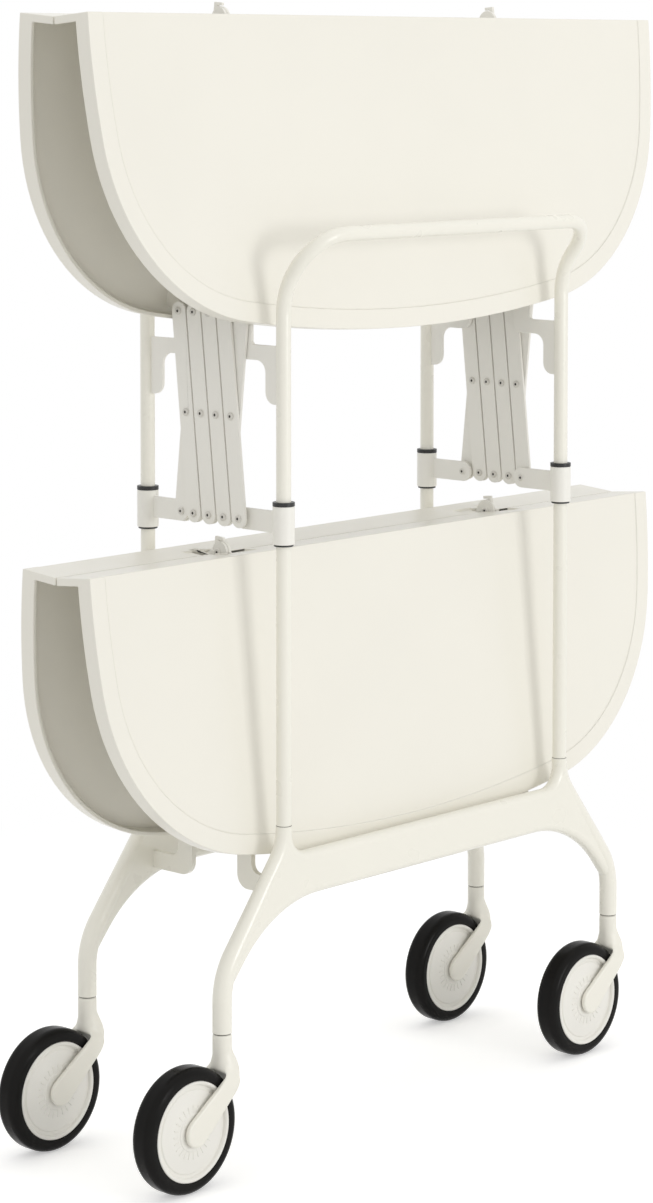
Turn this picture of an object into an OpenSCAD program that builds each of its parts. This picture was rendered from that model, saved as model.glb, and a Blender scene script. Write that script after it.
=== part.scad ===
// Folding serving trolley, folded. Millimetres, +Z up, origin on the floor under its middle.
// X runs along the tray hinges. The rear frame stands at +Y and the front frame at -Y.
// Everything is drawn at the rear. The front is the rear turned half a turn about Z, except the casters.

/* [Trays] */
// Width of a tray along its hinge line
tray_w = 738; // [724:2:752]
// Depth of an upper half tray from its seam to its outer edge
upper_depth = 272; // [268:1:274]
// Depth of a lower half tray
lower_depth = 265.8; // [262:0.2:268]
// Height of the rim round the curved edge
rim_h = 15; // [10:1:15]
// Height of the straight wall at the seam
seam_wall_h = 40; // [38:1:42]
// Thickness of the rim and of the seam wall
wall_t = 3.6; // [3:0.2:4.4]
// Thickness of the tray sheet, raised border included
sheet_t = 3.4; // [3:0.2:4]
// Width of the raised border on the upper face
border_w = 17; // [12:1:24]
// Height of the raised border
border_h = 1.2; // [0.6:0.2:1.4]
// Top edge of the folded upper tray
upper_top_z = 960; // [956:1:964]
// Top edge of the folded lower tray
lower_top_z = 507.2; // [504:0.2:509]
// Lean of each folded half from the vertical
lean = 5; // [4:0.5:6]

/* [Frames] */
// Distance of the uprights from the middle, along X
upright_x = 185.2; // [184.8:0.1:186]
// Distance of a folded frame from the middle, along Y
frame_y = 80.3; // [80:0.1:82]
// Outer diameter of the frame tube
tube_d = 12.6; // [12:0.2:13]
// Wall of the frame tube
tube_wall = 1.5; // [1:0.1:2]
// Height of the handle bar's centre line
handle_z = 777.5; // [774:0.5:785]
// Outward tilt of the handle corners
handle_tilt = 38; // [30:1:42]
// Bend radius of the handle corners
handle_corner_r = 36; // [30:1:40]
// Bend radius of the uprights below the handle
handle_bend_r = 60; // [50:1:66]

/* [Base castings] */
// Thickness of the web between the legs
web_t = 13; // [12:0.2:13]
// Top of the apron
apron_top_z = 257; // [254:0.5:260]
// Bottom of the apron at its middle
apron_bottom_z = 219; // [217:0.5:221]
// Height where the tubes meet the casting
socket_z = 282; // [280:1:284]
// Slope of the leg's straight part from the vertical
leg_slope = 37.3; // [36.5:0.1:38]
// Distance of the caster axes from the middle, along X
caster_x = 259.7; // [258:0.1:261]
// Diameter of the leg at the caster
neck_d = 16.2; // [15.4:0.1:16.6]

/* [Casters] */
// Wheel radius
wheel_r = 52; // [51:0.5:53]
// Tyre width
tyre_w = 22; // [20:1:22]
// Radius of the wheel disc inside the tyre
disc_r = 40; // [38:0.5:41]
// Trail of the wheel behind the swivel axis
trail = 44.2; // [43.5:0.1:45.5]
// Height of the swivel joint
swivel_z = 122.5; // [121:0.1:124]

/* [Scissors] */
// Height of the upper pivots
pivot_z = 708.3; // [707:0.1:710]
// Distance between neighbouring pivots, folded
pitch = 17.6; // [17.4:0.1:17.8]
// Length of a bar between its end pivots
bar_len = 172.4; // [170:0.1:173]
// Width of a bar
bar_w = 16; // [14:0.5:16]
// Thickness of a bar
bar_t = 2.5; // [2:0.1:2.5]

/* [Sleeves] */
// Outer diameter of a sleeve
sleeve_d = 18.6; // [18:0.1:20]
// Height of a sleeve between its rings
sleeve_h = 32; // [30:0.5:34]

/* [Hidden] */

cream = [0.93, 0.92, 0.86];
cream_metal = [0.86, 0.85, 0.8];
disc_white = [0.94, 0.93, 0.9];
black = [0.06, 0.06, 0.06];

$fn = 48;
fine_fn = 180;
run = 0.05;            // radial clearance of a running fit
bite = 0.1;            // radial overlap of a pressed fit
far = 1000;
left = -1;
right = 1;

// Trays: the outline has a side arc, a corner arc and a front arc, tangent to each other
side_r = 685;
corner_r = 182;
front_r = 1370;
seam_gap = 0.4;        // half the gap between two closed halves
upper_lug_x = 179.5;
lower_lug_x = 177;
lug_t = 3.8;
lug_r = 8;
pivot_y = 2 * pitch;   // distance of the outer pivots from the middle, folded
upper_hinge_z = upper_top_z - seam_wall_h * sin(lean);
lower_hinge_z = lower_top_z - seam_wall_h * sin(lean);
pivot_drop = upper_hinge_z - pivot_z;
lower_pivot_z = lower_hinge_z - pivot_drop;
// The outer pivot in the half tray's own frame: depth from the seam, height from the upper face
pivot_q = pivot_y * sin(lean) + pivot_drop * cos(lean);
pivot_n = pivot_y * cos(lean) - pivot_drop * sin(lean) - seam_wall_h;

// Frames
tube_r = tube_d / 2;
straight = 2;          // straight piece between the outward bend and the corner
joint_lap = 0.5;       // how far a joint ring reaches into its neighbours, and how much fuller it is
joint_r = 0.03;
bend_z = handle_z - (handle_corner_r + straight) * cos(handle_tilt) - handle_bend_r * sin(handle_tilt);
bend_end = [frame_y + handle_bend_r * (1 - cos(handle_tilt)), bend_z + handle_bend_r * sin(handle_tilt)];
out_dir = [sin(handle_tilt), cos(handle_tilt)];
corner_at = bend_end + straight * out_dir;
bar_y = corner_at[0] + handle_corner_r * out_dir[0];
bar_end_x = upright_x - handle_corner_r;

// Plates in the plane of the uprights
plate_t = 3;
plate_x0 = 183.7;
plate_end_y = 75.5;    // where a plate ends inside the tube or the casting
riser_r = 9.65;
hanger_bottom_z = 634.8;
hanger_arm_z0 = 671;
hanger_arm_z1 = 684;
strip_y = 60.6;        // inner edge of the hanger's strip
plate_corner_r = 10;
hook_x0 = 181.2;
hook_t = 4.8;
hook_r = 8.3;
hook_corner_r = 12;
hook_bottom_z = 221.2;
hook_notch_z = 236;
notch_r = 8;

// Casting: a round leg with two bends, and a web whose free edges are round rods
leg_top_r = 6.75;
leg_r = neck_d / 2;
top_bend_r = 45;
low_bend_r = 60;
half_web = web_t / 2;
edge_r = half_web + 0.1;
arch_x = 144.6;
arch_r = 121;
arch_turn = 50;
arch_end_len = 23;     // straight end of the arch's rod, inside the leg
fillet_r = 18;
stem_r = 4;
stem_h = 27;
swivel_gap = 0.3;

// Scissor packs: two layers of bars outside the plates
layer_in = 187.2;
layer_out = 190.2;
pin_r = 2.5;
head_r = 3.3;
head_t = 1.1;
head_gap = 0.1;
fold_angle = asin(pitch / bar_len);
lower_z = pivot_z - bar_len * cos(fold_angle);
middle_z = (pivot_z + lower_z) / 2;

// Sleeves
sleeve_bore_r = tube_r + 0.08;
ring_top_r = 9.4;
ring_top_h = 3.4;
ring_low_r = 8.3;
ring_low_h = 1.6;
sleeve_z0 = lower_z - sleeve_h / 2 - 1.8;
arm_r = 9.2;
arm_end_y = 73.5;

// Knuckles
knuckle_r = 10;
knuckle_t = 2.9;
inner_leaf_x = 174.9;
outer_leaf_x = 178.3;
hinge_pin_r = 2;
hook_rise = 13.4;
hook_half_w = 4.6;
pocket_w = 24;
pocket_d = 1.8;
end_flange = 7;        // how far the full height of the seam wall runs round the tray's ends

// Casters
axle_z = wheel_r;
axle_r = 3.2;
boss_r = 12;
arm_in_y = 12.5;
arm_out_y = 17;
shoulder_z = 92;       // height of the fork's widest part along X
heel_r = 23;
heel_x = -16.4;
heel_turn = 48;
flare_x = 3.2;
flare_z = 87;
flare_lean = 7.3;
flare_top_r = 7.3;
flare_low_r = 12.5;
flare_h = 25;
tyre_gap = 2.5;

// ---- helpers ----

// Points on an arc about c, from angle a0 to angle a1
function arc(c, r, a0, a1, n) = [for (i = [0:n]) let (a = a0 + (a1 - a0) * i / n) c + r * [cos(a), sin(a)]];

// The same points mirrored to negative X, in reverse order
function mirrored(h) = [for (i = [len(h) - 1:-1:0]) [-h[i][0], h[i][1]]];

module turned() { rotate([0, 0, 180]) children(); }

module on_side(s) { if (s > 0) children(); else mirror([1, 0, 0]) children(); }

// Extrudes an outline given in Y and Z along X, from x0 over t
module plate_x(x0, t) { translate([x0, 0, 0]) rotate([90, 0, 90]) linear_extrude(t) children(); }

// Extrudes an outline given in X and Z along Y, from y0 over t
module plate_y(y0, t) { translate([0, y0 + t, 0]) rotate([90, 0, 0]) linear_extrude(t) children(); }

module rod_x(x0, x1, r) { translate([x0, 0, 0]) rotate([0, 90, 0]) cylinder(h = x1 - x0, r = r); }

module rod_y(y0, y1, r) { translate([0, y0, 0]) rotate([-90, 0, 0]) cylinder(h = y1 - y0, r = r); }

// ---- half trays ----

side_c = [tray_w / 2 - side_r, 0];
function front_c(depth) = [0, depth - front_r];

// Centre of the corner arc, from its distances to the other two centres
function corner_c(depth) = let (
  to_front = front_c(depth) - side_c,
  span = norm(to_front),
  dir = to_front / span,
  along = (pow(side_r - corner_r, 2) - pow(front_r - corner_r, 2) + span * span) / (2 * span),
  aside = sqrt(pow(side_r - corner_r, 2) - along * along))
  side_c + along * dir + aside * [-dir[1], dir[0]];

function bearing(from, to) = atan2(to[1] - from[1], to[0] - from[0]);

// Curved edge from the seam on the right to the middle of the front, drawn in by inset
function edge_right(depth, inset) = let (
  f = front_c(depth), c = corner_c(depth), a0 = bearing(side_c, c), a1 = bearing(f, c))
  concat(arc(side_c, side_r - inset, 0, a0, 8),
         arc(c, corner_r - inset, a0, a1, 22),
         arc(f, front_r - inset, a1, 90, 14));

// Plan of a half tray between depths q0 and q1
module tray_plan(depth, inset, q0, q1 = far) {
  intersection() {
    polygon(concat(edge_right(depth, inset), mirrored(edge_right(depth, inset))));
    translate([-tray_w, q0]) square([2 * tray_w, q1 - q0]);
  }
}

// A pivot lug in depth and height, hung under the sheet
module lug_outline() {
  difference() {
    union() {
      translate([pivot_q, pivot_n]) circle(lug_r);
      polygon([[pivot_q - 16, -sheet_t + 0.6], [pivot_q - 1, -sheet_t + 0.6],
               [pivot_q + lug_r, pivot_n], [pivot_q - lug_r, pivot_n]]);
    }
    translate([pivot_q, pivot_n]) circle(pin_r + run);
  }
}

// One half lying flat, upper face at zero height, its depth along +Y
module half_flat(depth, lug_x) {
  wall_bottom = seam_wall_h - seam_gap;
  inner_q = seam_gap + wall_t;
  difference() {
    union() {
      translate([0, 0, -rim_h]) linear_extrude(rim_h) tray_plan(depth, 0, seam_gap);
      translate([0, 0, -wall_bottom]) linear_extrude(wall_bottom - sheet_t)
        tray_plan(depth, 0, seam_gap, end_flange);
    }
    translate([0, 0, -far]) linear_extrude(far - sheet_t) tray_plan(depth, wall_t, inner_q);
    translate([0, 0, -border_h]) linear_extrude(2) tray_plan(depth, border_w, -1);
    for (s = [left, right]) {
      // Slots in the seam wall for the knuckles and, further out, for the scissor packs
      on_side(s) translate([inner_leaf_x - 1.7, -1, -far]) cube([9.7, inner_q + 2, far - 25]);
      on_side(s) translate([layer_in - 1.5, -1, -far]) cube([8.2, inner_q + 2, far - 17.5]);
      // Shallow pocket in the outer face of the seam wall, on the left of each knuckle
      translate([s * (inner_leaf_x + 3) - 4 - pocket_w, -1, -far])
        cube([pocket_w, 1 + seam_gap + pocket_d, far - 22]);
    }
  }
  for (s = [left, right]) on_side(s) plate_x(lug_x, lug_t) lug_outline();
}

// A knuckle leaf in depth and height: a rounded plate on the hinge axis, fixed behind the seam wall
module leaf_outline(bore_r) {
  back_q = seam_gap + wall_t;
  difference() {
    union() {
      translate([0, -seam_wall_h]) circle(knuckle_r);
      polygon([[0, -seam_wall_h + 3], [0, -seam_wall_h + knuckle_r], [back_q, -25.5], [back_q, -sheet_t],
               [back_q + 9, -sheet_t], [back_q + 9, -seam_wall_h + 3]]);
    }
    translate([0, -seam_wall_h]) circle(bore_r);
  }
}

// The outer leaf also has a hook over the seam
module hook_leaf_outline(bore_r) {
  difference() {
    union() {
      leaf_outline(bore_r);
      translate([-hook_rise, -seam_wall_h - hook_half_w]) square([2.6, 2 * hook_half_w]);
      translate([-hook_rise, -seam_wall_h + hook_half_w - 4]) square([hook_rise - 4, 4]);
    }
    translate([-far / 2, -seam_wall_h + hook_half_w]) square([far / 2 - 1, 20]);
    translate([0, -seam_wall_h]) circle(bore_r);
  }
}

// Puts a flat half that reaches to +Y into its folded place behind the seam
module fold_rear(hinge_z) {
  translate([0, 0, hinge_z]) rotate([lean - 90, 0, 0]) translate([0, 0, seam_wall_h]) children();
}

// One half's leaves: an outer hooked leaf on its left, a plain inner leaf on its right
module half_leaves(hinge_z, bore_r) {
  fold_rear(hinge_z) {
    on_side(left) plate_x(outer_leaf_x, knuckle_t) hook_leaf_outline(bore_r);
    on_side(right) plate_x(inner_leaf_x, knuckle_t) leaf_outline(bore_r);
  }
}

module hinge_pins(hinge_z) {
  for (s = [left, right]) on_side(s) translate([0, 0, hinge_z]) {
    rod_x(inner_leaf_x - 0.3, outer_leaf_x + knuckle_t + 0.3, hinge_pin_r);
    rod_x(inner_leaf_x - 0.3 - head_t, inner_leaf_x - 0.3, head_r);
    rod_x(outer_leaf_x + knuckle_t + 0.3, outer_leaf_x + knuckle_t + 0.3 + head_t, head_r);
  }
}

module rear_knuckles(hinge_z) {
  color(cream_metal) {
    half_leaves(hinge_z, hinge_pin_r - bite);
    hinge_pins(hinge_z);
  }
}

module front_knuckles(hinge_z) { color(cream_metal) turned() half_leaves(hinge_z, hinge_pin_r + run); }

module upper_half() { color(cream) fold_rear(upper_hinge_z) half_flat(upper_depth, upper_lug_x); }

module lower_half() { color(cream) fold_rear(lower_hinge_z) half_flat(lower_depth, lower_lug_x); }

module upper_half_rear() { upper_half(); }
module upper_half_front() { turned() upper_half(); }
module lower_half_rear() { lower_half(); }
module lower_half_front() { turned() lower_half(); }
module upper_knuckles_rear() { rear_knuckles(upper_hinge_z); }
module upper_knuckles_front() { front_knuckles(upper_hinge_z); }
module lower_knuckles_rear() { rear_knuckles(lower_hinge_z); }
module lower_knuckles_front() { front_knuckles(lower_hinge_z); }

// ---- frames ----

// Uprights, outward bends, corners and handle bar, of radius r, from height z0
module tube_path(r, z0) {
  for (s = [left, right]) on_side(s) {
    translate([upright_x, frame_y, z0]) cylinder(h = bend_z - z0, r = r);
    translate([upright_x, frame_y + handle_bend_r, bend_z]) rotate([90, 0, -90])
      rotate_extrude(angle = handle_tilt, $fn = fine_fn) translate([handle_bend_r, 0]) circle(r);
    translate([bar_end_x, corner_at[0], corner_at[1]]) rotate([90 - handle_tilt, 0, 0]) {
      rotate_extrude(angle = 90, $fn = fine_fn) translate([handle_corner_r, 0]) circle(r);
      translate([0, handle_corner_r, 0]) rod_x(-joint_lap, joint_lap, r + joint_r);
      translate([handle_corner_r, 0, 0]) rod_y(-straight - joint_lap, joint_lap, r + joint_r);
    }
  }
  translate([0, bar_y, handle_z]) rod_x(-bar_end_x, bar_end_x, r);
}

module frame_tube() {
  color(cream) difference() {
    tube_path(tube_r, socket_z);
    for (s = [left, right]) translate([s * upright_x, frame_y, socket_z - 1])
      cylinder(h = bend_z - socket_z, r = tube_r - tube_wall);
  }
}

module tube_rear() { frame_tube(); }
module tube_front() { turned() frame_tube(); }

// The leg's centre line in X and Z: down the upright, out along the slope, down to the caster
top_c = [upright_x + top_bend_r, socket_z - 1];
slope_z = top_c[1] - top_bend_r * tan(leg_slope / 2) - (caster_x - upright_x) / tan(leg_slope);
low_c = [caster_x - low_bend_r, slope_z - low_bend_r * tan(leg_slope / 2)];
slope_dir = [sin(leg_slope), -cos(leg_slope)];
slope_start = top_c - top_bend_r * [cos(leg_slope), sin(leg_slope)];
slope_end = low_c + low_bend_r * [cos(leg_slope), sin(leg_slope)];

// The arch's rod, its centre line edge_r above the arch
arch_c = [arch_x, apron_bottom_z - arch_r];
arch_end = arch_c + (arch_r + edge_r) * [sin(arch_turn), cos(arch_turn)];
arch_dir = [cos(arch_turn), -sin(arch_turn)];
fillet_c = [upright_x - edge_r - fillet_r, apron_top_z + fillet_r];

// Puts a solid that stands on the origin at p in X and Z, and tips it from the vertical towards dir
module tipped(p, dir) { translate([p[0], 0, p[1]]) rotate([0, atan2(dir[0], dir[1]), 0]) children(); }

// A round arc in the plane of X and Z about c, from angle a0 over turn
module round_arc(c, major, r, a0, turn) {
  translate([c[0], 0, c[1]]) rotate([90, 0, 0]) rotate([0, 0, a0])
    rotate_extrude(angle = turn, $fn = fine_fn) translate([major, 0]) circle(r);
}

// A short fuller ring that joins two round pieces end to end
module joint_ring(p, dir, r) {
  tipped(p - joint_lap * dir, dir) cylinder(h = 2 * joint_lap, r = r + joint_r);
}

module leg() {
  translate([upright_x, 0, top_c[1]]) cylinder(h = socket_z - top_c[1], r = leg_top_r + joint_r);
  joint_ring([upright_x, top_c[1]], [0, -1], leg_top_r);
  round_arc(top_c, top_bend_r, leg_top_r, 180, leg_slope);
  joint_ring(slope_start, slope_dir, leg_top_r);
  tipped(slope_start, slope_dir) cylinder(h = norm(slope_end - slope_start), r1 = leg_top_r, r2 = leg_r);
  joint_ring(slope_end, slope_dir, leg_r);
  round_arc(low_c, low_bend_r, leg_r, 0, leg_slope);
  joint_ring([caster_x, low_c[1]], [0, -1], leg_r);
  translate([caster_x, 0, swivel_z + swivel_gap]) cylinder(h = low_c[1] - swivel_z - swivel_gap, r = leg_r);
}

// The web ends on the centre lines of the leg and of the edge rods
function web_side() = concat(
  arc(fillet_c, fillet_r + edge_r, -90, 0, 10),
  arc(top_c, top_bend_r, 180, 180 + leg_slope, 10),
  arc(low_c, low_bend_r, leg_slope, 0, 10),
  [arch_end + arch_end_len * arch_dir],
  arc(arch_c, arch_r + edge_r, 90 - arch_turn, 90, 20));

module web_edges() {
  for (s = [left, right]) on_side(s) {
    round_arc(fillet_c, fillet_r + edge_r, edge_r, -90, 90);
    joint_ring([fillet_c[0], apron_top_z - edge_r], [1, 0], edge_r);
    joint_ring([arch_x, apron_bottom_z + edge_r], [1, 0], edge_r);
    round_arc(arch_c, arch_r + edge_r, edge_r, 90 - arch_turn, arch_turn);
    joint_ring(arch_end, arch_dir, edge_r);
    tipped(arch_end, arch_dir) cylinder(h = arch_end_len, r = edge_r);
  }
  translate([0, 0, apron_top_z - edge_r]) rod_x(-fillet_c[0], fillet_c[0], edge_r);
  translate([0, 0, apron_bottom_z + edge_r]) rod_x(-arch_x, arch_x, edge_r);
}

// The plate that holds the lower tray's outer pivot, in Y and Z
module hook_outline() {
  c = hook_corner_r;
  difference() {
    polygon(concat(
      arc([pivot_y, lower_pivot_z], hook_r, 180, 0, 18),
      arc([pivot_y + hook_r + notch_r, hook_notch_z + notch_r], notch_r, 180, 270, 6),
      [[plate_end_y, hook_notch_z], [plate_end_y, hook_bottom_z]],
      arc([pivot_y - hook_r + c, hook_bottom_z + c], c, 270, 180, 8)));
    translate([pivot_y, lower_pivot_z]) circle(pin_r - bite);
  }
}

module casting() {
  color(cream) {
    difference() {
      translate([0, frame_y, 0]) {
        plate_y(-half_web, web_t) polygon(concat(web_side(), mirrored(web_side())));
        web_edges();
        for (s = [left, right]) on_side(s) {
          leg();
          translate([upright_x, 0, socket_z - 1]) cylinder(h = 30, r = tube_r - tube_wall - run);
        }
      }
      for (s = [left, right]) translate([s * caster_x, frame_y, swivel_z - 1])
        cylinder(h = stem_h + 2, r = stem_r + run);
    }
    for (s = [left, right]) on_side(s) plate_x(hook_x0, hook_t) hook_outline();
  }
}

module base_rear() { casting(); }
module base_front() { turned() casting(); }

// The plate that holds the upper tray's outer pivot and the first bar, in Y and Z
module hanger_outline() {
  in_y = pivot_y - riser_r;
  out_y = pivot_y + riser_r;
  c = plate_corner_r;
  difference() {
    polygon(concat(
      arc([pivot_y, pivot_z], riser_r, 180, 0, 18),
      [[out_y, hanger_arm_z1 + 2], [out_y + 2, hanger_arm_z1], [plate_end_y, hanger_arm_z1],
       [plate_end_y, hanger_bottom_z]],
      arc([strip_y + c, hanger_bottom_z + c], c, 270, 180, 6),
      arc([strip_y - c, hanger_arm_z0 - c], c, 0, 90, 6),
      arc([in_y + c, hanger_arm_z0 + c], c, 270, 180, 6)));
    translate([pivot_y, pivot_z]) circle(pin_r - bite);
  }
}

module hanger(s) { color(cream_metal) on_side(s) plate_x(plate_x0, plate_t) hanger_outline(); }

module hanger_rear_left() { hanger(left); }
module hanger_rear_right() { hanger(right); }
module hanger_front_left() { turned() hanger(right); }
module hanger_front_right() { turned() hanger(left); }

// A pin with a head at each end, between x0 and x1
module headed_pin(s, y, z, x0, x1) {
  on_side(s) translate([0, y, z]) {
    rod_x(x0, x1, pin_r);
    rod_x(x0 - head_t, x0, head_r);
    rod_x(x1, x1 + head_t, head_r);
  }
}

// Outer pivots of both trays; at the top each also carries the first bar of a scissor pack
module frame_pins() {
  color(cream_metal) for (s = [left, right]) {
    headed_pin(s, pivot_y, pivot_z, upper_lug_x - head_gap, layer_x(s, 1) + bar_t + head_gap);
    headed_pin(s, pivot_y, lower_pivot_z, lower_lug_x - head_gap, hook_x0 + hook_t + head_gap);
  }
}

module pins_rear() { frame_pins(); }
module pins_front() { turned() frame_pins(); }

// ---- scissors, rear chain ----

// Odd bars lie in the outer layer on the left and in the inner layer on the right, even bars the other way
function is_outer(s, n) = (n % 2 == 1) == (s == left);
function layer_x(s, n) = is_outer(s, n) ? layer_out : layer_in;

// Upper and lower ends of bar n, as steps of the pitch from the middle
top_step = [0, 2, 1, 1, 0];
low_step = [0, 1, 2, 0, 1];

module bar(s, n) {
  y0 = top_step[n] * pitch;
  y1 = low_step[n] * pitch;
  r = bar_w / 2;
  color(cream_metal) on_side(s) plate_x(layer_x(s, n), bar_t) translate([y0, pivot_z])
    rotate(atan2(lower_z - pivot_z, y1 - y0)) difference() {
      union() {
        circle(r);
        translate([bar_len, 0]) circle(r);
        translate([0, -r]) square([bar_len, bar_w]);
      }
      for (q = [0, bar_len / 2, bar_len]) translate([q, 0]) circle(pin_r + run);
    }
}

module bar_rear_1_left() { bar(left, 1); }
module bar_rear_1_right() { bar(right, 1); }
module bar_rear_2_left() { bar(left, 2); }
module bar_rear_2_right() { bar(right, 2); }
module bar_rear_3_left() { bar(left, 3); }
module bar_rear_3_right() { bar(right, 3); }
module bar_rear_4_left() { bar(left, 4); }
module bar_rear_4_right() { bar(right, 4); }
module bar_front_1_left() { turned() bar(right, 1); }
module bar_front_1_right() { turned() bar(left, 1); }
module bar_front_2_left() { turned() bar(right, 2); }
module bar_front_2_right() { turned() bar(left, 2); }
module bar_front_3_left() { turned() bar(right, 3); }
module bar_front_3_right() { turned() bar(left, 3); }
module bar_front_4_left() { turned() bar(right, 4); }
module bar_front_4_right() { turned() bar(left, 4); }

// A rivet through both layers, its head flat on its own bar and just clear of the other one
module rivet(s, n, y, z) {
  own_out = is_outer(s, n);
  headed_pin(s, y, z, layer_in - (own_out ? head_gap : 0), layer_out + bar_t + (own_out ? 0 : head_gap));
}

// A stud in one bar only, where the pack is opened: its head is on the bar's free side
module stud(s, n, y, z) {
  x0 = layer_x(s, n);
  on_side(s) translate([0, y, z]) {
    rod_x(x0, x0 + bar_t, pin_r);
    if (is_outer(s, n)) rod_x(x0 + bar_t, x0 + bar_t + head_t, head_r);
    else rod_x(x0 - head_t, x0, head_r);
  }
}

module first_rivets() {
  color(cream_metal) for (s = [left, right]) {
    rivet(s, 1, 1.5 * pitch, middle_z);
    rivet(s, 1, pitch, lower_z);
  }
}

module third_rivets() {
  color(cream_metal) for (s = [left, right]) {
    rivet(s, 3, pitch, pivot_z);
    rivet(s, 3, 0.5 * pitch, middle_z);
    stud(s, 3, 0, lower_z);
  }
}

module fourth_studs() { color(cream_metal) for (s = [left, right]) stud(s, 4, 0, pivot_z); }

module rivets_rear_1() { first_rivets(); }
module rivets_rear_3() { third_rivets(); }
module rivets_rear_4() { fourth_studs(); }
module rivets_front_1() { turned() first_rivets(); }
module rivets_front_3() { turned() third_rivets(); }
module rivets_front_4() { turned() fourth_studs(); }

// ---- sleeves that slide on the uprights ----

module ring_solid(z0, h, r) {
  translate([upright_x, frame_y, z0]) difference() {
    cylinder(h = h, r = r);
    translate([0, 0, -1]) cylinder(h = h + 2, r = sleeve_bore_r);
  }
}

// Sleeve, arm and the stud that carries the second bar
module sleeve(s) {
  color(cream_metal) on_side(s) {
    ring_solid(sleeve_z0, sleeve_h, sleeve_d / 2);
    plate_x(plate_x0, plate_t) {
      translate([pivot_y, lower_z]) circle(arm_r);
      translate([pivot_y, lower_z - arm_r]) square([arm_end_y - pivot_y, 2 * arm_r]);
    }
    x1 = layer_x(s, 2) + bar_t + head_gap;
    translate([0, pivot_y, lower_z]) {
      rod_x(plate_x0 - head_t, x1, pin_r);
      rod_x(plate_x0 - head_t, plate_x0, head_r);
      rod_x(x1, x1 + head_t, head_r);
    }
  }
}

module sleeve_rear_left() { sleeve(left); }
module sleeve_rear_right() { sleeve(right); }
module sleeve_front_left() { turned() sleeve(right); }
module sleeve_front_right() { turned() sleeve(left); }

module end_rings() {
  color(black) for (s = [left, right]) on_side(s) {
    ring_solid(sleeve_z0 + sleeve_h, ring_top_h, ring_top_r);
    ring_solid(sleeve_z0 - ring_low_h, ring_low_h, ring_low_r);
  }
}

module rings_rear() { end_rings(); }
module rings_front() { turned() end_rings(); }

// ---- casters, all trailing to -X ----

// Half a cosine wave: 0 at t = 0, 1 at t = 1, level at both ends
function ease(t) = (1 - cos(180 * t)) / 2;

// Fork from the side: heel, round end at the axle, upper edge
function fork_side() = concat(
  [[-5, 97], [heel_x + heel_r, 97]],
  arc([heel_x, shoulder_z], heel_r, 0, -heel_turn, 6),
  arc([-trail, axle_z], boss_r, -heel_turn, -238, 14),
  [[-10, 90]]);

// Fork from the front: shoulders that swing out from the neck to the arms
function fork_front() = concat(
  [[arm_out_y, axle_z - 20]],
  [for (i = [8:-1:0]) [7 + (arm_out_y - 7) * ease(i / 8), 104 - 22 * i / 8]]);

// The neck's flare below the swivel, about its own leaning axis: radius and height
function flare() = concat(
  arc([0, 2], flare_low_r, -90, 0, 8),
  [for (i = [9:-1:0]) [flare_top_r + (flare_low_r - flare_top_r) * ease(i / 10), 2 + flare_h * (1 - i / 10)]],
  [[0, 2 + flare_h]]);

module fork() {
  color(cream_metal) {
    difference() {
      union() {
        intersection() {
          plate_y(-arm_out_y, 2 * arm_out_y) polygon(fork_side());
          plate_x(-far / 2, far) polygon(concat(fork_front(), mirrored(fork_front())));
        }
        translate([flare_x, 0, flare_z]) rotate([0, -flare_lean, 0])
          rotate_extrude($fn = fine_fn) polygon(flare());
      }
      translate([-trail, 0, axle_z]) rod_y(-arm_in_y, arm_in_y, wheel_r + tyre_gap);
    }
    translate([0, 0, 98]) cylinder(h = swivel_z - swivel_gap - 98, r = neck_d / 2);
    translate([0, 0, swivel_z - 2]) cylinder(h = stem_h, r = stem_r);
    translate([-trail, 0, axle_z]) rod_y(-arm_out_y + 1, arm_out_y - 1, axle_r);
  }
}

// Half the disc's section: radius and distance from the wheel's middle
disc_face = [[0, 11.6], [15.4, 11.2], [16, 10.4], [23, 10], [34, 8.7], [35, 7.6], [37, 7.6], [38, 8.2]];

module wheel() {
  color(disc_white) rotate([90, 0, 0]) difference() {
    rotate_extrude($fn = fine_fn) polygon(concat(
      disc_face, [[disc_r, 7.4], [disc_r, -7.4]],
      [for (i = [len(disc_face) - 1:-1:0]) [disc_face[i][0], -disc_face[i][1]]]));
    cylinder(h = 3 * tyre_w, r = axle_r + run, center = true);
  }
}

module tyre() {
  half = tyre_w / 2;
  shoulder_r = 7;
  c = [wheel_r - shoulder_r, half - shoulder_r];
  color(black) rotate([90, 0, 0]) rotate_extrude($fn = fine_fn) polygon(concat(
    [[disc_r, -half + 2], [disc_r + 2, -half]],
    arc([c[0], -c[1]], shoulder_r, -90, 0, 8),
    arc(c, shoulder_r, 0, 90, 8),
    [[disc_r + 2, half], [disc_r, half - 2]]));
}

// Puts a caster's part at the corner sx, sy
module at_corner(sx, sy) { translate([sx * caster_x, sy * frame_y, 0]) children(); }

module at_axle(sx, sy) { at_corner(sx, sy) translate([-trail, 0, axle_z]) children(); }

module fork_rear_left() { at_corner(-1, 1) fork(); }
module fork_rear_right() { at_corner(1, 1) fork(); }
module fork_front_left() { at_corner(-1, -1) fork(); }
module fork_front_right() { at_corner(1, -1) fork(); }
module wheel_rear_left() { at_axle(-1, 1) wheel(); }
module wheel_rear_right() { at_axle(1, 1) wheel(); }
module wheel_front_left() { at_axle(-1, -1) wheel(); }
module wheel_front_right() { at_axle(1, -1) wheel(); }
module tyre_rear_left() { at_axle(-1, 1) tyre(); }
module tyre_rear_right() { at_axle(1, 1) tyre(); }
module tyre_front_left() { at_axle(-1, -1) tyre(); }
module tyre_front_right() { at_axle(1, -1) tyre(); }

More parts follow.
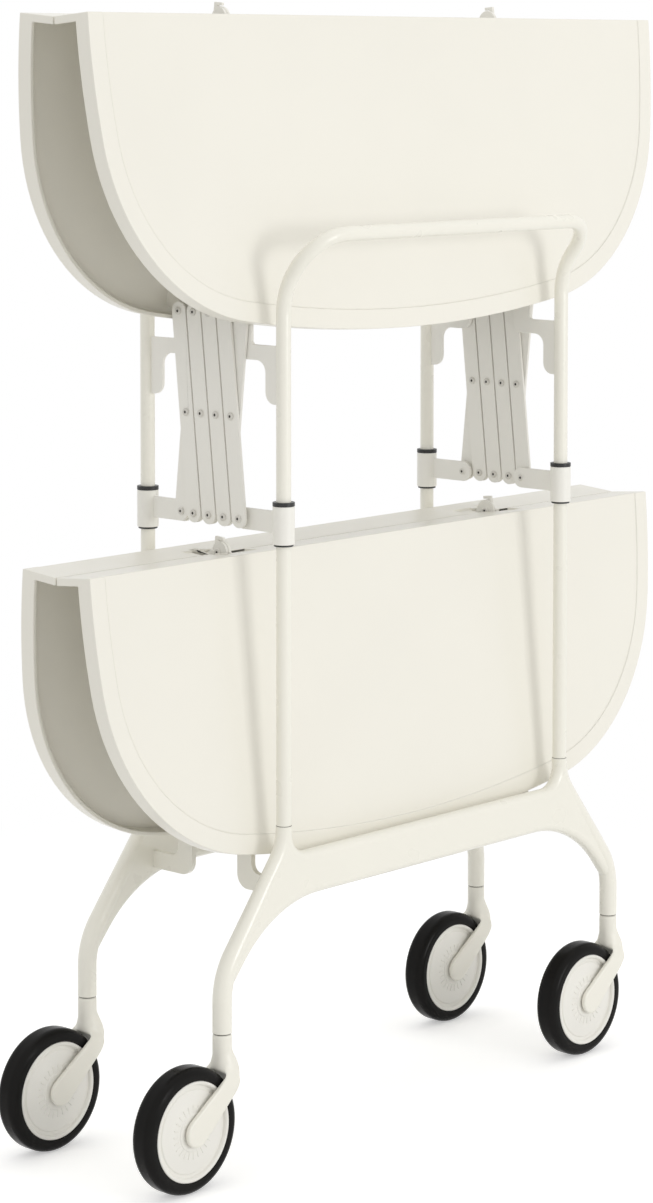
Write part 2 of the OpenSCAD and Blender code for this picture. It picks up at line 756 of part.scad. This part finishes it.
base_rear();
base_front();
tube_rear();
tube_front();
hanger_rear_left();
hanger_rear_right();
hanger_front_left();
hanger_front_right();
pins_rear();
pins_front();
upper_half_rear();
upper_half_front();
lower_half_rear();
lower_half_front();
upper_knuckles_rear();
upper_knuckles_front();
lower_knuckles_rear();
lower_knuckles_front();
bar_rear_1_left();
bar_rear_1_right();
bar_rear_2_left();
bar_rear_2_right();
bar_rear_3_left();
bar_rear_3_right();
bar_rear_4_left();
bar_rear_4_right();
bar_front_1_left();
bar_front_1_right();
bar_front_2_left();
bar_front_2_right();
bar_front_3_left();
bar_front_3_right();
bar_front_4_left();
bar_front_4_right();
rivets_rear_1();
rivets_rear_3();
rivets_rear_4();
rivets_front_1();
rivets_front_3();
rivets_front_4();
sleeve_rear_left();
sleeve_rear_right();
sleeve_front_left();
sleeve_front_right();
rings_rear();
rings_front();
fork_rear_left();
fork_rear_right();
fork_front_left();
fork_front_right();
wheel_rear_left();
wheel_rear_right();
wheel_front_left();
wheel_front_right();
tyre_rear_left();
tyre_rear_right();
tyre_front_left();
tyre_front_right();
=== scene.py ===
import math
import bmesh
import bpy
from mathutils import Matrix, Vector


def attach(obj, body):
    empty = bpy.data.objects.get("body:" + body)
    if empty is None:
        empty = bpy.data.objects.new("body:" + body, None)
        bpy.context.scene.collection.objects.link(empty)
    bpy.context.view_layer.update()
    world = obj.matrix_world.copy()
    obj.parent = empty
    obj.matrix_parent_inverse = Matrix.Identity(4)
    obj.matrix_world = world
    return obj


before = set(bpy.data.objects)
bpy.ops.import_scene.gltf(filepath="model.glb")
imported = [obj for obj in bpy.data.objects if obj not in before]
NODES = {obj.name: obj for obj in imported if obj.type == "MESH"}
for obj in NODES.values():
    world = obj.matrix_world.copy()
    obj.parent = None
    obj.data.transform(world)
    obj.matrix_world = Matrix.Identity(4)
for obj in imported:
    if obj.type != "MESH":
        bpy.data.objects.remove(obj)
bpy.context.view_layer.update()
MM = 0.001
LEFT, RIGHT = -1, 1
ENDS = (("rear", 1), ("front", -1))
SIDES = (("left", LEFT), ("right", RIGHT))

# Places in the CAD, in millimetres
PITCH = 17.6
PIVOT_Z = 708.3
BAR_LEN = 172.4
LOWER_Z = PIVOT_Z - math.sqrt(BAR_LEN ** 2 - PITCH ** 2)
MIDDLE_Z = (PIVOT_Z + LOWER_Z) / 2
UPPER_HINGE_Z = 956.514
LOWER_HINGE_Z = 503.714
LOWER_PIVOT_Z = LOWER_HINGE_Z - (UPPER_HINGE_Z - PIVOT_Z)
FRAME_Y = 80.3
UPRIGHT_X = 185.2
SOCKET_Z = 282.0
CASTER_X = 259.7
SWIVEL_Z = 122.5
TRAIL = 44.2
AXLE_Z = 52.0

# Faces under the pin and rivet heads, along X
LAYER_IN = 187.2
LAYER_OUT = 190.2
BAR_T = 2.5
UPPER_LUG_X = 179.5
LOWER_LUG_X = 177.0
HOOK_OUT_X = 186.0
SLEEVE_ARM_X = 183.7
HEAD = 1.1
GAP = 0.1
# Tops of the hinge pins' heads on the right, and the way they face along X
HINGE_HEADS = ((173.5, -1), (182.6, 1))


# ---- camera, solved from the photograph ----

PICTURE_W, PICTURE_H = 653, 1203
FOCAL_PX = 3318.95
PRINCIPAL_X, PRINCIPAL_Y = 310.48, 256.89
CAMERA_AT = (-2.1893, -1.9532, 0.9194)
CAMERA_YAW = 42.5965
CAMERA_DOWN = 3.3572
SENSOR_H = 36.0


def add_camera():
    cam = bpy.data.cameras.new("camera")
    cam.sensor_fit = "VERTICAL"
    cam.sensor_height = SENSOR_H
    cam.lens = FOCAL_PX / PICTURE_H * SENSOR_H
    cam.shift_x = (PICTURE_W / 2 - PRINCIPAL_X) / PICTURE_H
    cam.shift_y = -(PICTURE_H / 2 - PRINCIPAL_Y) / PICTURE_H
    cam.clip_end = 60.0
    ob = bpy.data.objects.new("camera", cam)
    ob.location = CAMERA_AT
    ob.rotation_euler = (math.radians(90 - CAMERA_DOWN), 0, math.radians(CAMERA_YAW - 90))
    bpy.context.scene.collection.objects.link(ob)
    bpy.context.scene.camera = ob


# ---- materials ----

# Noise scales per metre, and the grain's height in metres
DRIFT_SCALE = 7.0
GLOSS_SCALE = 40.0
FINE_GRAIN = 900.0
GRAIN_HEIGHT = 0.0001
COAT_ROUGHNESS = 0.12


def nodes_of(name):
    mat = bpy.data.materials.new(name)
    mat.use_nodes = True
    tree = mat.node_tree
    return mat, tree, tree.nodes["Principled BSDF"]


def noise(tree, scale):
    coord = tree.nodes.new("ShaderNodeTexCoord")
    n = tree.nodes.new("ShaderNodeTexNoise")
    n.inputs["Scale"].default_value = scale
    n.inputs["Detail"].default_value = 2.0
    n.inputs["Roughness"].default_value = 0.5
    tree.links.new(coord.outputs["Object"], n.inputs["Vector"])
    return n.outputs["Fac"]


def ramp(tree, fac, low, high):
    r = tree.nodes.new("ShaderNodeValToRGB")
    r.color_ramp.elements[0].position = 0.35
    r.color_ramp.elements[1].position = 0.65
    r.color_ramp.elements[0].color = (*low, 1)
    r.color_ramp.elements[1].color = (*high, 1)
    tree.links.new(fac, r.inputs["Fac"])
    return r.outputs["Color"]


def bump(tree, shader, fac, strength):
    b = tree.nodes.new("ShaderNodeBump")
    b.inputs["Strength"].default_value = strength
    b.inputs["Distance"].default_value = GRAIN_HEIGHT
    tree.links.new(fac, b.inputs["Height"])
    tree.links.new(b.outputs["Normal"], shader.inputs["Normal"])


def shade(color, k):
    return tuple(c * k for c in color)


def coated(name, color, rough, grain=FINE_GRAIN, strength=0.06, coat=0.0, spread=0.008, rough_spread=0.03,
           specular=0.5):
    """Enamel or moulded plastic: faint colour drift, uneven gloss and a fine surface grain."""
    mat, tree, bsdf = nodes_of(name)
    drift = ramp(tree, noise(tree, DRIFT_SCALE), shade(color, 1 - spread), shade(color, 1 + spread))
    tree.links.new(drift, bsdf.inputs["Base Color"])
    gloss = ramp(tree, noise(tree, GLOSS_SCALE), (rough - rough_spread,) * 3, (rough + rough_spread,) * 3)
    tree.links.new(gloss, bsdf.inputs["Roughness"])
    bump(tree, bsdf, noise(tree, grain), strength)
    bsdf.inputs["Coat Weight"].default_value = coat
    bsdf.inputs["Coat Roughness"].default_value = COAT_ROUGHNESS
    bsdf.inputs["Specular IOR Level"].default_value = specular
    return mat


def make_materials():
    return {
        "tray": coated("tray_plastic", (0.875, 0.852, 0.775), 0.38, strength=0.05, coat=0.15),
        "enamel": coated("frame_enamel", (0.88, 0.86, 0.775), 0.30, grain=700.0, strength=0.04, coat=0.3),
        "metal": coated("flat_parts_enamel", (0.88, 0.865, 0.81), 0.42, grain=1200.0),
        "rivet": coated("rivet_steel", (0.70, 0.68, 0.63), 0.35, grain=1500.0),
        "fork": coated("fork_plastic", (0.87, 0.85, 0.77), 0.38),
        "disc": coated("disc_plastic", (0.85, 0.835, 0.785), 0.38),
        "tyre": coated("tyre_rubber", (0.012, 0.0115, 0.011), 0.20, grain=500.0, spread=0.1,
                       rough_spread=0.04, specular=0.06),
        "ring": coated("ring_plastic", (0.015, 0.015, 0.015), 0.35, spread=0.1),
        # Near black: painted shade standing in for the dark inside of the hollow rivet heads
        "hole_shade": coated("rivet_hole_shade", (0.03, 0.027, 0.023), 0.7, spread=0.1),
        # Near black: painted shade for the gaps at the joints
        "seam": coated("seam_shadow", (0.09, 0.085, 0.07), 0.7, spread=0.1),
    }


MAT = {}


def paint(ob, key):
    ob.data.materials.clear()
    ob.data.materials.append(MAT[key])


# ---- the CAD nodes ----

# Distance in metres, angles in degrees, grain in millimetres
WELD_DISTANCE = 1e-5
FLAT_ANGLE = 0.4
EDGE_ANGLE = 32.0
EDGE_SEGMENTS = 3
MOULD_GRAIN = 0.8
MOULD_ROUNDS = 24


def join_faces(ob):
    weld = ob.modifiers.new("join_faces", "WELD")
    weld.merge_threshold = WELD_DISTANCE


def soften(ob, width):
    """Rounds the sharp edges of a CAD node and shades it cleanly."""
    for p in ob.data.polygons:
        p.use_smooth = True
    join_faces(ob)
    flat = ob.modifiers.new("plain_faces", "DECIMATE")
    flat.decimate_type = "DISSOLVE"
    flat.angle_limit = math.radians(FLAT_ANGLE)
    b = ob.modifiers.new("edge_round", "BEVEL")
    b.width = width * MM
    b.segments = EDGE_SEGMENTS
    b.limit_method = "ANGLE"
    b.angle_limit = math.radians(EDGE_ANGLE)
    b.use_clamp_overlap = False
    shading = ob.modifiers.new("clean_shading", "WEIGHTED_NORMAL")
    shading.keep_sharp = True
    shading.weight = 80


def mould(ob):
    """Gives a CAD node the flowing edges of a moulding: an even fine mesh, evened out."""
    join_faces(ob)
    fine = ob.modifiers.new("even_mesh", "REMESH")
    fine.mode = "VOXEL"
    fine.voxel_size = MOULD_GRAIN * MM
    fine.use_smooth_shade = True
    flow = ob.modifiers.new("flowing_edges", "SMOOTH")
    flow.factor = 0.5
    flow.iterations = MOULD_ROUNDS


# Family, material and edges: a radius in millimetres, the CAD's own, or a moulding's
EXACT, MOULDED = "exact", "moulded"
FAMILIES = (
    ("base", "enamel", EXACT), ("tube", "enamel", EXACT), ("hanger", "metal", 0.5), ("pins", "rivet", 0.3),
    ("bar", "metal", 0.4), ("rivets", "rivet", 0.3), ("sleeve", "metal", 0.6), ("rings", "ring", 0.3),
    ("fork", "fork", MOULDED), ("wheel", "disc", 0.3), ("tyre", "tyre", EXACT))


def finish_of(name):
    if "_half_" in name:
        return "tray", 0.9
    if "knuckles" in name:
        return "metal", 0.4
    return next((key, edge) for prefix, key, edge in FAMILIES if name.startswith(prefix))


def dress_nodes():
    for name, ob in NODES.items():
        key, edge = finish_of(name)
        paint(ob, key)
        if edge == MOULDED:
            mould(ob)
        elif edge != EXACT:
            soften(ob, edge)


# ---- pieces ----

def new_piece(name, bm, key, body, smooth=True):
    bmesh.ops.recalc_face_normals(bm, faces=bm.faces)
    me = bpy.data.meshes.new(name)
    bm.to_mesh(me)
    bm.free()
    for p in me.polygons:
        p.use_smooth = smooth
    ob = bpy.data.objects.new(name, me)
    bpy.context.scene.collection.objects.link(ob)
    paint(ob, key)
    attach(ob, body)
    return ob


def lathe(bm, profile, matrix, steps, closed=True):
    """Turns (radius, height) points about Z, closed to a ring or open from the axis, placed by matrix."""
    rings = []
    for r, h in profile:
        if r == 0:
            rings.append([bm.verts.new(matrix @ Vector((0, 0, h)))])
        else:
            rings.append([bm.verts.new(matrix @ Vector((r * math.cos(a), r * math.sin(a), h)))
                          for a in (2 * math.pi * i / steps for i in range(steps))])
    pairs = list(zip(rings, rings[1:]))
    if closed:
        pairs.append((rings[-1], rings[0]))
    for a, b in pairs:
        for i in range(steps):
            j = (i + 1) % steps
            if len(a) == 1:
                bm.faces.new((a[0], b[i], b[j]))
            elif len(b) == 1:
                bm.faces.new((a[i], a[j], b[0]))
            else:
                bm.faces.new((a[i], a[j], b[j], b[i]))


def box_at(bm, matrix, size):
    geom = bmesh.ops.create_cube(bm, size=1.0)
    bmesh.ops.transform(bm, matrix=matrix @ Matrix.Diagonal((*size, 1.0)), verts=geom["verts"])


def stand_at(x, y, z, turn=Matrix.Identity(4)):
    """Matrix in metres for something drawn in millimetres that stands, turned, at (x, y, z) mm."""
    return Matrix.Translation((x * MM, y * MM, z * MM)) @ turn @ Matrix.Scale(MM, 4)


def facing_x(x, y, z, way):
    """The same for a lathe that stands on a head and points along way * X."""
    return stand_at(x, y, z, Matrix.Rotation(math.radians(90 * way), 4, "Y"))


# ---- rolled rims of the pins and rivets, and painted shade in their hollows ----

def is_outer(side, n):
    return (n % 2 == 1) == (side == LEFT)


def layer(side, n):
    return LAYER_OUT if is_outer(side, n) else LAYER_IN


def rivet_span(side, n):
    out = is_outer(side, n)
    return LAYER_IN - (GAP if out else 0), LAYER_OUT + BAR_T + (0 if out else GAP)


def rear_heads():
    """Heads of the rear chain as (body, side, y, z, x of the face, way), as drawn in the CAD at +Y."""
    out = []

    def both(body, side, y, z, x0, x1):
        out.append((body, side, y, z, x0 - HEAD, -1))
        out.append((body, side, y, z, x1 + HEAD, 1))

    for side in (LEFT, RIGHT):
        both("frame", side, 2 * PITCH, PIVOT_Z, UPPER_LUG_X - GAP, layer(side, 1) + BAR_T + GAP)
        both("frame", side, 2 * PITCH, LOWER_PIVOT_Z, LOWER_LUG_X - GAP, HOOK_OUT_X + GAP)
        both("bars_1", side, 1.5 * PITCH, MIDDLE_Z, *rivet_span(side, 1))
        both("bars_1", side, PITCH, LOWER_Z, *rivet_span(side, 1))
        both("bars_3", side, PITCH, PIVOT_Z, *rivet_span(side, 3))
        both("bars_3", side, 0.5 * PITCH, MIDDLE_Z, *rivet_span(side, 3))
        both("sleeves", side, 2 * PITCH, LOWER_Z, SLEEVE_ARM_X, layer(side, 2) + BAR_T + GAP)
        for body, n, z in (("bars_3", 3, LOWER_Z), ("bars_4", 4, PIVOT_Z)):
            if is_outer(side, n):
                out.append((body, side, 0, z, LAYER_OUT + BAR_T + HEAD, 1))
            else:
                out.append((body, side, 0, z, LAYER_IN - HEAD, -1))
    return out


def all_heads():
    """Every pin, rivet and hinge pin head, by body: matrices that stand on the head's face."""
    heads = {}
    for body, side, y, z, x, way in rear_heads():
        kind, _, n = body.partition("_")
        for end, turn in ENDS:
            name = f"{kind}_{end}" + (f"_{n}" if n else "")
            heads.setdefault(name, []).append(facing_x(turn * side * x, turn * y, z, turn * side * way))
    for name, z in (("upper_rear", UPPER_HINGE_Z), ("lower_rear", LOWER_HINGE_Z)):
        for side in (LEFT, RIGHT):
            for x, way in HINGE_HEADS:
                heads.setdefault(name, []).append(facing_x(side * x, 0, z, side * way))
    return heads


# Radius and height above the head
EYELET = ((1.15, -0.3), (1.2, 0.28), (1.45, 0.45), (1.8, 0.48), (2.3, 0.36), (2.9, 0.12), (3.1, -0.3))
EYELET_STEPS = 28
# The hollows are not cut: a near-black dish just above each head is painted shade for the inside of the
# hollow
HOLLOW = ((0.0, 0.03), (0.8, 0.05), (1.3, 0.1))
HOLLOW_STEPS = 20


def add_eyelets():
    for body, places in all_heads().items():
        # Near-black dishes, painted shade for the hollows in the heads
        pits = bmesh.new()
        for m in places:
            lathe(pits, HOLLOW, m, HOLLOW_STEPS, closed=False)
        new_piece(f"hole_shades_{body}", pits, "hole_shade", body)
        # The studs in the middle of a pack fold up under the tray, where there is no room for a ring
        if body.endswith("_4"):
            continue
        rims = bmesh.new()
        for m in places:
            lathe(rims, EYELET, m, EYELET_STEPS)
        new_piece(f"eyelets_{body}", rims, "rivet", body)


# ---- wheel discs ----

# Radius and distance from the wheel's middle
DISC_RIM = ((37.4, 7.4), (38.0, 9.4), (38.8, 10.5), (39.8, 10.9), (40.7, 10.8), (41.3, 10.3), (41.3, 9.2),
            (37.4, 7.0))
DISC_RIM_STEPS = 72
COLLAR_RIBS = 24
RIB_RADIUS, RIB_HEIGHT = 19.3, 10.3
RIB_SIZE = (6.2, 1.0, 0.9)
RIB_EDGE = 0.3


def add_wheel_details():
    for end, sy in ENDS:
        for name, sx in SIDES:
            rims, ribs = bmesh.new(), bmesh.new()
            for face in (-1, 1):
                turn = Matrix.Rotation(math.radians(-90 * face), 4, "X")
                stand = stand_at(sx * CASTER_X - TRAIL, sy * FRAME_Y, AXLE_Z, turn)
                lathe(rims, DISC_RIM, stand, DISC_RIM_STEPS)
                for i in range(COLLAR_RIBS):
                    spin = Matrix.Rotation(2 * math.pi * i / COLLAR_RIBS, 4, "Z")
                    box_at(ribs, stand @ spin @ Matrix.Translation((RIB_RADIUS, 0, RIB_HEIGHT)), RIB_SIZE)
            body = f"roller_{end}_{name}"
            new_piece(f"disc_rim_{end}_{name}", rims, "disc", body)
            ob = new_piece(f"collar_ribs_{end}_{name}", ribs, "disc", body, smooth=False)
            b = ob.modifiers.new("edge_round", "BEVEL")
            b.width = RIB_EDGE * MM
            b.segments = 2


# ---- painted shade in the joints ----

# Dark rings painted with the shade in the joint gaps
# Radius and height from the joint
SWIVEL_SHADE_RING = ((4.2, -0.28), (7.7, -0.28), (7.8, 0.0), (7.7, 0.28), (4.2, 0.28))
SOCKET_SHADE_RING = ((6.2, -0.2), (6.5, -0.2), (6.5, 0.35), (6.2, 0.5))
SEAM_STEPS = 40
# Dark strips painted with the shade in the gap between the tray halves
STRIP_SPANS = ((-366.0, -196.0), (-173.0, 173.0), (196.0, 366.0))
STRIP_DOWN, STRIP_W, STRIP_H = 1.6, 0.6, 2.0


def add_joint_shades():
    """Painted shade in the joints: dark rings at each caster's swivel and where tube meets casting, and
    dark strips in the gap between the halves of a tray.
    """
    for end, sy in ENDS:
        sockets = bmesh.new()
        for name, sx in SIDES:
            # Dark rings painted with the shade in the gaps at the swivel and where tube meets casting
            neck = bmesh.new()
            lathe(neck, SWIVEL_SHADE_RING, stand_at(sx * CASTER_X, sy * FRAME_Y, SWIVEL_Z), SEAM_STEPS)
            new_piece(f"swivel_joint_shade_{end}_{name}", neck, "seam", f"caster_{end}_{name}")
            lathe(sockets, SOCKET_SHADE_RING, stand_at(sx * UPRIGHT_X, sy * FRAME_Y, SOCKET_Z), SEAM_STEPS)
        new_piece(f"socket_joint_shades_{end}", sockets, "seam", f"frame_{end}")
    for body, z in (("upper_rear", UPPER_HINGE_Z), ("lower_rear", LOWER_HINGE_Z)):
        # A dark strip painted with the shade in the gap between the halves of the tray
        strip = bmesh.new()
        for x0, x1 in STRIP_SPANS:
            box_at(strip, stand_at((x0 + x1) / 2, 0, z - STRIP_DOWN), (x1 - x0, STRIP_W, STRIP_H))
        new_piece(f"tray_joint_shade_{body}", strip, "seam", body, smooth=False)


# ---- stage and light ----

AMBIENT = 0.77
SKY_COLOR = (1.0, 0.995, 0.98, 1)
FLOOR_COLOR = (0.88, 0.88, 0.875, 1)
FLOOR_LIFT = 0.40
# In metres: the floor, and where it starts and ends its fade to white
FLOOR_RADIUS = 12.0
WHITE_FROM, WHITE_TO = 0.45, 1.1
# Name, place, the point it faces, size in metres and power in watts
LIGHTS = (("key", (0.5, -3.8, 1.0), (0, 0, 0.5), 1.3, 33), ("top", (0.0, 0.4, 3.4), (0, 0, 0), 2.4, 11))


def ray_seen(tree):
    """1 for what the camera sees directly, in a reflection or through something clear."""
    path = tree.nodes.new("ShaderNodeLightPath")
    total = path.outputs["Is Camera Ray"]
    for key in ("Is Glossy Ray", "Is Transmission Ray"):
        add = tree.nodes.new("ShaderNodeMath")
        add.operation = "ADD"
        add.use_clamp = True
        tree.links.new(total, add.inputs[0])
        tree.links.new(path.outputs[key], add.inputs[1])
        total = add.outputs[0]
    return total


def mix_shaders(tree, fac, a, b):
    mix = tree.nodes.new("ShaderNodeMixShader")
    tree.links.new(fac, mix.inputs["Fac"])
    tree.links.new(a, mix.inputs[1])
    tree.links.new(b, mix.inputs[2])
    return mix.outputs[0]


def add_world():
    world = bpy.data.worlds.new("studio")
    bpy.context.scene.world = world
    world.use_nodes = True
    tree = world.node_tree
    sky = tree.nodes["Background"]
    sky.inputs["Color"].default_value = SKY_COLOR
    sky.inputs["Strength"].default_value = AMBIENT
    seen = tree.nodes.new("ShaderNodeBackground")
    seen.inputs["Color"].default_value = (1, 1, 1, 1)
    seen.inputs["Strength"].default_value = 1.0
    out = mix_shaders(tree, ray_seen(tree), sky.outputs[0], seen.outputs[0])
    tree.links.new(out, tree.nodes["World Output"].inputs["Surface"])


def emission(tree, strength):
    node = tree.nodes.new("ShaderNodeEmission")
    node.inputs["Strength"].default_value = strength
    return node.outputs[0]


def floor_material():
    """Lifted white that keeps the object's shadow, and plain white further away, so without a horizon."""
    mat, tree, bsdf = nodes_of("studio_floor")
    bsdf.inputs["Base Color"].default_value = FLOOR_COLOR
    bsdf.inputs["Roughness"].default_value = 0.9
    bsdf.inputs["Specular IOR Level"].default_value = 0.0
    lit = tree.nodes.new("ShaderNodeAddShader")
    tree.links.new(bsdf.outputs[0], lit.inputs[0])
    tree.links.new(emission(tree, FLOOR_LIFT), lit.inputs[1])
    coord = tree.nodes.new("ShaderNodeTexCoord")
    dist = tree.nodes.new("ShaderNodeVectorMath")
    dist.operation = "LENGTH"
    tree.links.new(coord.outputs["Object"], dist.inputs[0])
    fade = tree.nodes.new("ShaderNodeMapRange")
    fade.interpolation_type = "SMOOTHSTEP"
    fade.inputs["From Min"].default_value = WHITE_FROM
    fade.inputs["From Max"].default_value = WHITE_TO
    tree.links.new(dist.outputs["Value"], fade.inputs["Value"])
    near = mix_shaders(tree, fade.outputs["Result"], lit.outputs[0], emission(tree, 1.0))
    out = mix_shaders(tree, ray_seen(tree), bsdf.outputs[0], near)
    tree.links.new(out, tree.nodes["Material Output"].inputs["Surface"])
    return mat


def add_floor():
    me = bpy.data.meshes.new("floor")
    bm = bmesh.new()
    bmesh.ops.create_circle(bm, cap_ends=True, radius=FLOOR_RADIUS, segments=96)
    bm.to_mesh(me)
    bm.free()
    floor = bpy.data.objects.new("floor", me)
    bpy.context.scene.collection.objects.link(floor)
    floor.data.materials.append(floor_material())


def add_lights():
    for name, place, target, size, power in LIGHTS:
        li = bpy.data.lights.new(name, "AREA")
        li.shape = "RECTANGLE"
        li.size = li.size_y = size
        li.energy = power
        ob = bpy.data.objects.new(name, li)
        ob.location = place
        ob.rotation_euler = (Vector(target) - Vector(place)).to_track_quat("-Z", "Y").to_euler()
        bpy.context.scene.collection.objects.link(ob)


def main():
    bpy.context.scene.view_settings.view_transform = "Standard"
    add_camera()
    MAT.update(make_materials())
    dress_nodes()
    add_eyelets()
    add_wheel_details()
    add_joint_shades()
    add_world()
    add_floor()
    add_lights()


main()
